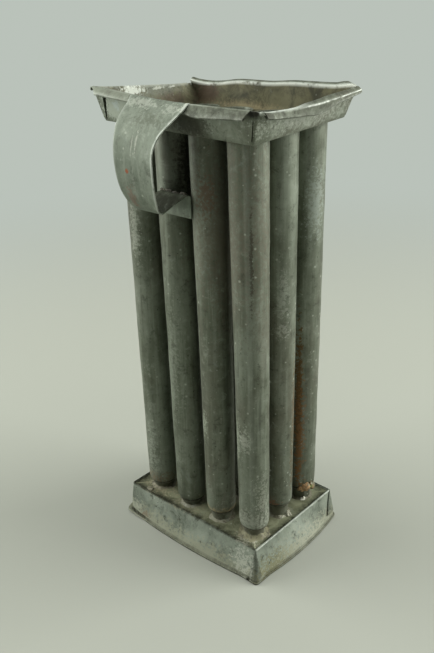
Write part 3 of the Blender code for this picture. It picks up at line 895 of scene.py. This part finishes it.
def shapeTube(number):
    size = candleTube
    wall, flange, radius, bend = (size[key] for key in ("wall", "flange", "topRadius", "curlRise"))
    spot, move = tubeSpots[number], footMoves[number]
    top, foot = tubeHead, tubeFoot - move.z
    # Up the outside, over the flange and down the inside
    heights = [foot + bend * share for share in (0.0, 0.04, 0.12, 0.24, 0.4, 0.62)]
    heights += [foot + bend + (panFloor - 0.2 - foot - bend) * ring / size["rings"]
                for ring in range(size["rings"] + 1)]
    outline = [(tubeRadius(height), height) for height in heights]
    outline += [(radius, top - wall - 0.1), (radius + flange, top - wall),
                (radius + flange, top - wall * 0.4), (radius + flange * 0.6, top),
                (radius - wall * 0.3, top - 0.1), (radius - wall, top - 0.8)]
    for ring in range(size["innerRings"] + 1):
        height = top - 4.0 - (top - 4.0 - foot) * ring / size["innerRings"]
        outline.append((tubeRadius(height) - wall, height))
    bm = bmesh.new()
    turnOutline(bm, outline, size["sides"])
    wearAndSheen, = markLayers(bm, "wearAndSheen")
    lapAt, lapWidth = math.radians(size["lapAt"][number]), math.radians(size["lapWidth"])
    for vert in bm.verts:
        away = vert.co.xy.length
        if away > tubeRadius(vert.co.z) - wall / 2 and vert.co.z < panFloor:
            behind = (math.atan2(vert.co.y, vert.co.x) - lapAt) % math.tau
            step = size["lap"] * (1 - behind / math.tau if behind > lapWidth else behind / lapWidth)
            rough = waver(vert.co + spot, size["waverSize"], number * 3.1)
            rough += 0.4 * waver(vert.co + spot, size["waverSize"] * 0.35, number * 1.7)
            hold = ease(vert.co.z, foot, foot + 6.0) * ease(-vert.co.z, -panFloor, -panFloor + 4.0)
            curl = size["curl"] * (1 - math.sqrt(1 - (1 - clamp((vert.co.z - foot) / bend)) ** 2))
            setRadius(vert, away - size["lap"] + step + size["waver"] * rough * hold - curl)
            if behind < lapWidth * 2:
                vert[wearAndSheen] = 0.08
        elif vert.co.z < foot + bend:
            setRadius(vert, away - size["curl"] * clamp((foot + bend - vert.co.z) / bend))
    bmesh.ops.recalc_face_normals(bm, faces=bm.faces[:])
    for vert in bm.verts:
        vert.co += spot + move.xy.to_3d() * shareDown(vert.co.z)
    return bm


tubeTin = tinFinish("tubeTin", tin, [
    # browner above
    stain((30, -26, 205), (38, 18, 70), (0.136, 0.124, 0.09), 0.75, soft=0.9),
    # tube 4: pale streaks on the left, specks low on the right, a dark seam
    stain((36.2, -31.5, 87), (2.4, 3, 16), (0.33, 0.36, 0.28), 0.5, 3.2),
    stain((41.8, -31.8, 89.2), (2.8, 3, 7), crust, 0.42, 3.0),
    stain((48, -25.5, 48), (4.5, 4, 12), (0.4, 0.42, 0.35), 0.4, 5.0),
    stain((46.5, -29.9, 192), (0.9, 2, 26), (0.04, 0.035, 0.024), 0.7, 2.0),
    stain((42, -28, 33), (14, 12, 7), (0.32, 0.34, 0.28), 0.6, 3.6),
    # tube 3: a pale patch, reddish specks under the pan, a painted highlight down its left side, a tan ring
    # at its foot
    stain((11.1, -32.2, 87.8), (3, 3, 8), (0.36, 0.4, 0.32), 0.6, 3.4),
    stain((18, -32, 224), (5, 4, 10), (0.15, 0.095, 0.065), 0.6, 2.6),
    stain((5, -30, 145), (6, 6, 90), (0.235, 0.255, 0.2), 0.7, 1.4, 1.0),
    stain((15.5, -25, 28.6), (14, 14, 3.4), (0.31, 0.255, 0.15), 0.75, 1.2),
    # tube 2, painted shade beside its neighbour under the pan, and tube 1 with its brown foot
    stain((-3.5, -24, 236), (5.2, 10, 26), paintedShadeBlack, 0.9, 1.0, 0.9),
    stain((-12, -33, 118), (5, 3, 30), (0.23, 0.26, 0.205), 0.5, 4.0),
    stain((-37.9, -33.6, 195), (3, 3, 14), crust, 0.35, 4.0),
    stain((-35.7, -33.2, 48), (3.4, 3, 18), (0.34, 0.37, 0.31), 0.55, 5.0),
    stain((-37, -26, 28), (13, 13, 8), (0.175, 0.14, 0.088), 0.8, 1.4),
    # tube 8: white wisps, rust beside tube 12, a rusty foot
    stain((46.7, -6, 148), (2.6, 3, 4), crust, 0.3, 4.5),
    stain((46.6, -6.1, 168), (2.2, 3, 10), crust, 0.26, 4.5),
    stain((48, 4.5, 85), (1.4, 3, 45), rust, 0.6, 3.0),
    stain((39.5, -7.5, 32), (5.5, 5, 4), (0.2, 0.098, 0.056), 0.8, 3.0),
    # tube 12: a long rust run, and a pale bluish patch high up
    stain((42.4, 15.4, 82), (2.6, 4, 66), rust, ragged=1.5),
    stain((43, 16, 58), (2.2, 3, 32), (0.235, 0.12, 0.05), 0.7, 4.5),
    stain((48.3, 20, 214), (4.5, 6, 16), (0.34, 0.39, 0.35), 0.45, 3.0),
])
for number in tubeNumbers:
    gatherPiece(shapeTube(number), f"tubeSheet{number:02d}", [tubeTin],
                f"candle_tube_{number:02d}", sharp=50.0)
print("tubes rolled")


# Tube tips: a cone that shows as a neck above the plate and as a spout under it

tubeTip = {
    "neckRadius": 6.1, "neckRise": 6.3, "neckDrop": 2.0, "shoulder": 9.2, "reach": 11.0,
    "wickHole": 1.0, "collar": 3.0, "wall": 0.5, "sides": 48, "waver": 0.18, "waverSize": 4.0,
}


def shapeTip(number):
    size = tubeTip
    spot, drop = footSpots[number], footMoves[number].z
    wall, neck, hole = size["wall"], size["neckRadius"], size["wickHole"]
    end, neckFoot = plateTop - size["reach"], plateTop - size["neckDrop"]
    neckTop, shoulder = plateTop + size["neckRise"] - drop, plateTop + size["shoulder"] - drop
    foot = candleTube["footRadius"] - candleTube["curl"] + 0.2
    collar, collarTop = foot - candleTube["wall"] - 0.3, shoulder + size["collar"]
    # Up the outside of the spout, the neck, the shoulder and the collar, and down the inside
    outline = [(hole + wall, end)]
    for share in (step / 8 for step in range(1, 8)):
        outline.append((hole + wall + (neck - hole - wall) * share ** 0.85, end + (neckFoot - end) * share))
    outline += [(neck, neckFoot), (neck, plateTop + 0.4), (neck, (plateTop + neckTop) / 2),
                (neck + 0.1, neckTop - 0.5), (neck + 0.3, neckTop), (neck + 0.9, neckTop + 1.1),
                (foot - 0.4, shoulder - 0.9), (foot - 0.08, shoulder - 0.4), (foot, shoulder - 0.05),
                (foot - 0.1, shoulder), (collar, shoulder), (collar, collarTop), (collar - wall, collarTop),
                (collar - wall, shoulder - wall), (neck - wall, neckTop), (neck - wall, neckFoot),
                (hole, end)]
    bm = bmesh.new()
    turnOutline(bm, outline, size["sides"])
    for vert in bm.verts:
        away = vert.co.xy.length
        if away > collar + 0.1 or vert.co.z < shoulder - 2.0:
            rough = size["waver"] * waver(vert.co + spot, size["waverSize"], number)
            setRadius(vert, away + rough * clamp(away / neck))
    bmesh.ops.recalc_face_normals(bm, faces=bm.faces[:])
    bmesh.ops.translate(bm, verts=bm.verts[:], vec=spot)
    return bm


tipTin = tinFinish("tipTin", {**tin, "dark": (0.085, 0.088, 0.06), "light": (0.165, 0.172, 0.125)})
for number in tubeNumbers:
    gatherPiece(shapeTip(number), f"tipSheet{number:02d}", [tipTin], f"tube_tip_{number:02d}",
                sharp=50.0)
print("tips turned")


# Solder: a puddle round each neck on the plate, a fillet under the pan round each tube, and lumps

solder = {
    # Reach from the neck and height of each puddle
    "usual": (1.6, 0.9),
    "puddles": {1: (2.4, 0.9), 2: (2.6, 1.0), 3: (2.2, 1.0), 4: (3.6, 2.6), 8: (1.8, 1.2), 12: (1.6, 1.2)},
    "fillet": (0.9, -0.8), "sides": 56, "ragged": 0.75, "raggedSize": 3.5,
    # Lumps: middle and reach
    "lumps": [
        ((-11.8, -34, 223), (2.2, 0.5, 0.9)), ((-7.2, -34, 223.3), (2.8, 0.5, 1)),
        ((-2, -34, 222.9), (2.6, 0.5, 0.9)), ((3.6, -34, 223.2), (2.6, 0.6, 1)),
        ((45.2, 1, 20.6), (2.6, 2, 1.6)), ((46, 19, 31.2), (3, 2.8, 3)),
        ((43.4, 17.2, 29.8), (2.6, 2, 2.2)), ((48, 22.2, 31.8), (2, 2.2, 2.6)),
        ((44, 19.8, 20.4), (0.6, 0.8, 1.6)), ((-38.5, -34.5, 20.4), (2.4, 1.8, 0.8)),
    ],
}


def shapeRings(rings):
    # Each ring of solder is a slope turned round an axis; its edge and crest run unevenly
    bm = bmesh.new()
    for spot, level, inner, (reach, height) in rings:
        known = set(bm.verts)
        way = math.copysign(1, height)
        outline = [(inner - 0.2, level - 0.2 * way), (inner + reach, level - 0.1 * way),
                   (inner + reach * 0.55, level + height * 0.16),
                   (inner + reach * 0.2, level + height * 0.5), (inner - 0.2, level + height)]
        turnOutline(bm, outline, solder["sides"])
        for vert in [vert for vert in bm.verts if vert not in known]:
            ragged = 1 + solder["ragged"] * waver(vert.co + spot * 3, solder["raggedSize"], level * 0.04)
            setRadius(vert, inner + (vert.co.xy.length - inner) * ragged)
            vert.co.z = level + (vert.co.z - level) * ragged
            vert.co += spot
    bmesh.ops.recalc_face_normals(bm, faces=bm.faces[:])
    return bm


def shapeLumps(lumps):
    bm = bmesh.new()
    for middle, reach in lumps:
        for vert in bmesh.ops.create_icosphere(bm, subdivisions=3, radius=1.0)["verts"]:
            rough = 1 + 0.35 * noise.noise(vert.co * 1.6 + Vector(middle) * 0.9)
            vert.co = Vector(middle) + vert.co * Vector(reach) * rough
    bmesh.ops.recalc_face_normals(bm, faces=bm.faces[:])
    return bm


puddles = [(footSpots[number], plateTop - basePan["recess"], tubeTip["neckRadius"],
            solder["puddles"].get(number, solder["usual"])) for number in tubeNumbers]
fillets = [(tubeSpots[number], panFloor + 0.1, candleTube["topRadius"], solder["fillet"])
           for number in tubeNumbers]
solderLook = {**tin, "dark": (0.095, 0.09, 0.056), "light": (0.215, 0.21, 0.15), "metal": 0.3,
              "rough": 0.6, "cloudScale": 180.0, "cloudStretch": (1.0, 1.0, 1.0), "bump": 0.6,
              "mottle": 0.8, "streaks": 0.1}
solderTin = tinFinish("solderLook", solderLook, [
    stain((-32, -33, 20.4), (10, 6, 3), (0.34, 0.32, 0.23), 0.6, 3.0),
    stain((-7, -33, 20.4), (7, 6, 3), (0.34, 0.34, 0.27), 0.6, 3.0),
    stain((17, -32, 20.4), (9, 6, 3), (0.32, 0.32, 0.24), 0.6, 3.0),
    stain((43, -29, 20.8), (11, 10, 4), (0.27, 0.262, 0.16), 0.7, 4.5),
    stain((45.2, 1, 20.8), (4, 4, 3), (0.5, 0.5, 0.4), 0.8, 2.4),
    stain((45.7, 19, 31), (6, 6, 4), (0.42, 0.26, 0.13), ragged=2.0),
    stain((47.6, 22, 31.8), (2.2, 2, 2), (0.24, 0.29, 0.12), ragged=1.0),
    stain((44, 19.8, 21), (1.6, 2, 3), (0.7, 0.7, 0.6), ragged=0.6),
    stain((-4, -34, 223.2), (16, 3, 3), (0.03, 0.028, 0.02), 0.8, 2.0),
])
gatherPiece(shapeRings(puddles), "plateSolder", [solderTin])
gatherPiece(shapeRings(fillets), "panSolder", [solderTin])
gatherPiece(shapeLumps(solder["lumps"]), "solderLumps", [solderTin])
print("solder run")


# Strap handle: laps over the front lip, bows out, and folds back to a foot on the second and third tubes

strap = {
    "sheet": 0.8, "softEdge": 0.18,
    # Outwards from the middle, and up
    "lap": [(39.3, 270.35), (40.2, 270.2), (41.3, 269.2), (42.4, 268.0)],
    "lapRim": 270.2,                # the rim's height there, whose slope the lap follows
    "leave": (43.4, 266.9), "slope": 40.0, "belly": (57.0, 240.0), "bottom": (45.6, 214.2),
    "fullTop": 0.62, "fullAbove": 0.56, "fullBelow": 0.56, "fullBottom": 0.5,
    "footTop": 222.2, "footEnd": 210.3, "footOut": 33.8, "footLeft": -12.5, "footRight": 8.2,
    # Left and right edges at heights
    "left": [(214.2, -17.5), (219, -18.9), (226, -20.7), (240, -22), (252, -23.4), (262, -25.3),
             (270.1, -25.2)],
    "right": [(214.2, 0.2), (219, 3), (226, 5.1), (237, 6.5), (248, 6.5), (255.3, 8.6), (261.5, 12.7),
              (266.4, 15.4), (270.1, 16.5)],
    "steps": 16, "columns": 20, "footRows": 15, "bulge": 0.5, "dent": 0.25, "dentSize": 16.0,
}


def bezier(p0, p1, p2, p3, steps):
    return [p0 * (1 - t) ** 3 + p1 * 3 * (1 - t) ** 2 * t + p2 * 3 * (1 - t) * t * t + p3 * t ** 3
            for t in (step / steps for step in range(steps + 1))]


def strapRows():
    # Each row: outwards, up, left edge, right edge, and how far it follows the rim
    size = strap
    leave, belly, bottom = (Vector(size[key]) for key in ("leave", "belly", "bottom"))
    slope = math.radians(size["slope"])
    ahead = Vector((math.cos(slope), -math.sin(slope))) * (belly.x - leave.x)
    upper = bezier(leave, leave + ahead * size["fullTop"],
                   belly + Vector((0, size["fullAbove"] * (leave.y - belly.y))), belly, size["steps"])
    lower = bezier(belly, belly + Vector((0, size["fullBelow"] * (bottom.y - belly.y))),
                   bottom + Vector((size["fullBottom"] * (belly.x - bottom.x), 0)), bottom, size["steps"])
    rows = [(*point, along(size["left"], point[1]), along(size["right"], point[1]), clamp(1 - index / 4))
            for index, point in enumerate([*size["lap"], *upper, *lower[1:]])]
    footOut, footTop = size["footOut"], size["footTop"]
    inner = [(footOut + (bottom.x - footOut) * share, footTop + (bottom.y - footTop) * share ** 1.4)
             for share in (0.9, 0.75, 0.6, 0.45, 0.3, 0.15, 0.06)]
    inner += [(footOut, footTop - 0.3), (footOut - 0.15, footTop - 1.2)]
    inner += [(footOut - 0.2, footTop - 1.2 + (size["footEnd"] - footTop + 1.2) * step / 5)
              for step in range(1, 6)]
    for index, point in enumerate(inner, 1):
        share = clamp(index / 7)
        rows.append((*point, size["left"][0][1] * (1 - share) + size["footLeft"] * share,
                     size["right"][0][1] * (1 - share) + size["footRight"] * share, 0.0))
    return rows


def shapeStrap():
    size = strap
    rows = strapRows()
    bm = bmesh.new()
    bmesh.ops.create_grid(bm, x_segments=size["columns"], y_segments=len(rows) - 1, size=1)
    wearAndSheen, grimeAndShade = markLayers(bm, "wearAndSheen", "grimeAndShade")
    turn = len(rows) - size["footRows"]
    for vert in bm.verts:
        across = (vert.co.x + 1) / 2
        index = round((vert.co.y + 1) / 2 * (len(rows) - 1))
        out, up, left, right, cling = rows[index]
        place = Vector((left + (right - left) * across, -out, up))
        place.z += cling * (rimTop(Vector((place.x, -topPan["rimHalfY"], 0))) - size["lapRim"])
        edge = abs(across * 2 - 1)
        belowLap = ease(-up, -266.0, -258.0)
        place.y += size["bulge"] * (1 - edge ** 2) * ease(up, 222.0, 235.0) * belowLap
        place.y += size["dent"] * waver(place, size["dentSize"], 4.0) * belowLap
        vert.co = place
        # edges rubbed bright, more on the right, partly a painted highlight; the inner face of the foot's
        # run darker
        vert[wearAndSheen] = ease(edge, 0.93, 1.0) * (0.8 if across > 0.5 else 0.35) * (index < turn)
        vert[grimeAndShade] = 0.4 * (turn < index < turn + 6)
    bmesh.ops.recalc_face_normals(bm, faces=bm.faces[:])
    if min(bm.faces, key=lambda face: face.calc_center_median().y).normal.y > 0:
        bmesh.ops.reverse_faces(bm, faces=bm.faces[:])
    return bm


strapLook = {**tin, "dark": (0.12, 0.144, 0.106), "light": (0.19, 0.22, 0.172), "brown": 0.0,
             "mottleLight": (0.29, 0.32, 0.27), "cloudStretch": (1.0, 1.0, 0.7),
             "streakStretch": (1.0, 0.6, 0.12), "rough": 0.6, "metal": 0.35, "bloom": 0.5}
strapTin = tinFinish("strapTin", strapLook, [
    stain((-12.9, -56.5, 236.7), (1.4, 2, 1.6), (0.29, 0.1, 0.05), ragged=0.8),
    stain((-13, -54.5, 222.5), (3.5, 5, 8), (0.2, 0.13, 0.095), 0.55, 2.2),
    stain((-6.5, -56, 253.5), (0.8, 5, 9), crust, 0.6),
    stain((-9.5, -56, 250), (0.6, 5, 6), crust, 0.5),
    stain((-3, -50, 262), (11, 6, 3), (0.11, 0.122, 0.085), 0.5, 3.5),
    *lipSolder,
])
# The strap's inner face: a darker copy of its tin, as painted shade inside the bow and fold
strapShadedLook = {**strapLook, "dark": (0.052, 0.06, 0.038), "light": (0.1, 0.112, 0.078), "metal": 0.6,
            "rough": 0.7, "dots": 0.3}
strapInsideShaded = tinFinish("strapInsideShaded", strapShadedLook)
strapPiece = gatherPiece(shapeStrap(), "strapSheet", [strapTin, strapInsideShaded], "handle_strap",
                         lift=False)
finishSheet(strapPiece, strap, inside=1)
softenEdges(strapPiece, strap["softEdge"])
print("strap bent")


# Stage, in metres: a wide pale bowl, a dark card, soft light from both sides and above, and the camera

stage = {
    "flat": 1.1, "bend": 1.1, "wall": 1.3, "sides": 96,
    "floorColour": (0.346, 0.362, 0.317), "backdropColour": (0.49, 0.54, 0.49),
    "floorEnds": 0.25, "backdropStarts": 0.9,
    "cardAt": (0.56, -0.6, 0.48), "cardColour": (0.04, 0.04, 0.035),
    "aim": (0.0, 0.0, 0.14), "airColour": (0.8, 0.84, 0.78), "airStrength": 0.46,
}
lamps = [
    {"name": "leftSoftbox", "at": (-0.95, -0.62, 0.66), "size": 1.3, "power": 20.5, "blue": 0.97},
    {"name": "rightSoftbox", "at": (0.92, 0.88, 0.6), "size": 1.1, "power": 25.8, "blue": 0.97},
    {"name": "topSoftbox", "at": (0.1, 0.1, 1.5), "size": 1.3, "power": 11.0, "blue": 0.98},
]
cameraView = {
    "azimuth": 43.33, "distance": 0.4082, "height": 0.32316, "target": (-0.00727, -0.00722, 0.13969),
    "roll": -1.974, "lens": 41.78, "shift": (0.0119, -0.0102),
}


def paper(name, colour, roughness):
    material = bpy.data.materials.new(name)
    material.use_nodes = True
    shader = material.node_tree.nodes["Principled BSDF"]
    shader.inputs["Base Color"].default_value = (*colour, 1.0)
    shader.inputs["Roughness"].default_value = roughness
    return material


def studioPaper():
    material = paper("studioPaper", stage["floorColour"], 0.9)
    tree = material.node_tree
    shader = tree.nodes["Principled BSDF"]
    shader.inputs["Specular IOR Level"].default_value = 0.1
    place = addNode(tree, 'ShaderNodeTexCoord').outputs["Object"]
    away = vectorMaths(tree, 'LENGTH', place)["Value"]
    # Away from the object the backdrop keeps its own colour, however little light falls on it
    ray = addNode(tree, 'ShaderNodeLightPath').outputs
    seen = plus(tree, plus(tree, ray["Is Camera Ray"], ray["Is Glossy Ray"]), ray["Is Transmission Ray"])
    share = times(tree, seen, band(tree, away, stage["floorEnds"], stage["backdropStarts"]))
    glow = addNode(tree, 'ShaderNodeEmission', {"Color": (*stage["backdropColour"], 1.0), "Strength": 1.0})
    values = {0: share, 1: shader.outputs["BSDF"], 2: glow.outputs["Emission"]}
    mixed = addNode(tree, 'ShaderNodeMixShader', values)
    tree.links.new(mixed.outputs["Shader"], tree.nodes["Material Output"].inputs["Surface"])
    return material


def makeFloor():
    # A disc that bends up into a wall all round
    flat, bend = stage["flat"], stage["bend"]
    path = [(0.0, 0.0), (flat, 0.0)]
    for angle in (math.pi / 2 * step / 16 for step in range(1, 17)):
        path.append((flat + bend * math.sin(angle), bend * (1 - math.cos(angle))))
    path.append((flat + bend, bend + stage["wall"]))
    bm = bmesh.new()
    turnOutline(bm, path, stage["sides"], closed=False)
    bmesh.ops.remove_doubles(bm, verts=bm.verts[:], dist=1e-6)
    faceUp(bm, 1)
    floor = makeObject(bm, "studioFloor", [studioPaper()])
    floor.data.shade_smooth()


def faceAim(thing, front):
    away = Vector(stage["aim"]) - thing.location
    thing.rotation_euler = away.to_track_quat(front, 'Y').to_euler()


def makeCard():
    # A dark card behind the camera, which darkens the middles of the tubes
    bm = bmesh.new()
    bmesh.ops.create_grid(bm, x_segments=1, y_segments=1, size=0.5)
    card = makeObject(bm, "darkCard", [paper("darkPaper", stage["cardColour"], 1.0)])
    card.location = stage["cardAt"]
    faceAim(card, 'Z')
    card.visible_camera = False


def makeLights():
    for lamp in lamps:
        light = bpy.data.lights.new(lamp["name"], 'AREA')
        light.shape = 'SQUARE'
        light.size = lamp["size"]
        light.energy = lamp["power"]
        light.color = (1.0, 1.0, lamp["blue"])
        holder = bpy.data.objects.new(lamp["name"], light)
        holder.location = lamp["at"]
        faceAim(holder, '-Z')
        holder.visible_camera = False
        bpy.context.scene.collection.objects.link(holder)
    world = bpy.data.worlds.new("studioAir")
    world.use_nodes = True
    air = world.node_tree.nodes["Background"].inputs
    air["Color"].default_value = (*stage["airColour"], 1.0)
    air["Strength"].default_value = stage["airStrength"]
    bpy.context.scene.world = world


def makeCamera():
    view = cameraView
    azimuth = math.radians(view["azimuth"])
    place = Vector((math.sin(azimuth), -math.cos(azimuth), 0.0)) * view["distance"]
    place.z = view["height"]
    turn = (Vector(view["target"]) - place).to_track_quat('-Z', 'Y').to_matrix()
    camera = bpy.data.objects.new("camera", bpy.data.cameras.new("camera"))
    camera.rotation_euler = (turn @ Matrix.Rotation(math.radians(view["roll"]), 3, 'Z')).to_euler()
    camera.location = place + mouldMiddle / metre
    camera.data.sensor_width = 36.0
    camera.data.lens = view["lens"]
    camera.data.shift_x, camera.data.shift_y = view["shift"]
    camera.data.clip_start = 0.01
    bpy.context.scene.collection.objects.link(camera)
    bpy.context.scene.camera = camera
    bpy.context.scene.view_settings.view_transform = 'Standard'


makeFloor()
makeCard()
makeLights()
makeCamera()
print("stage set")
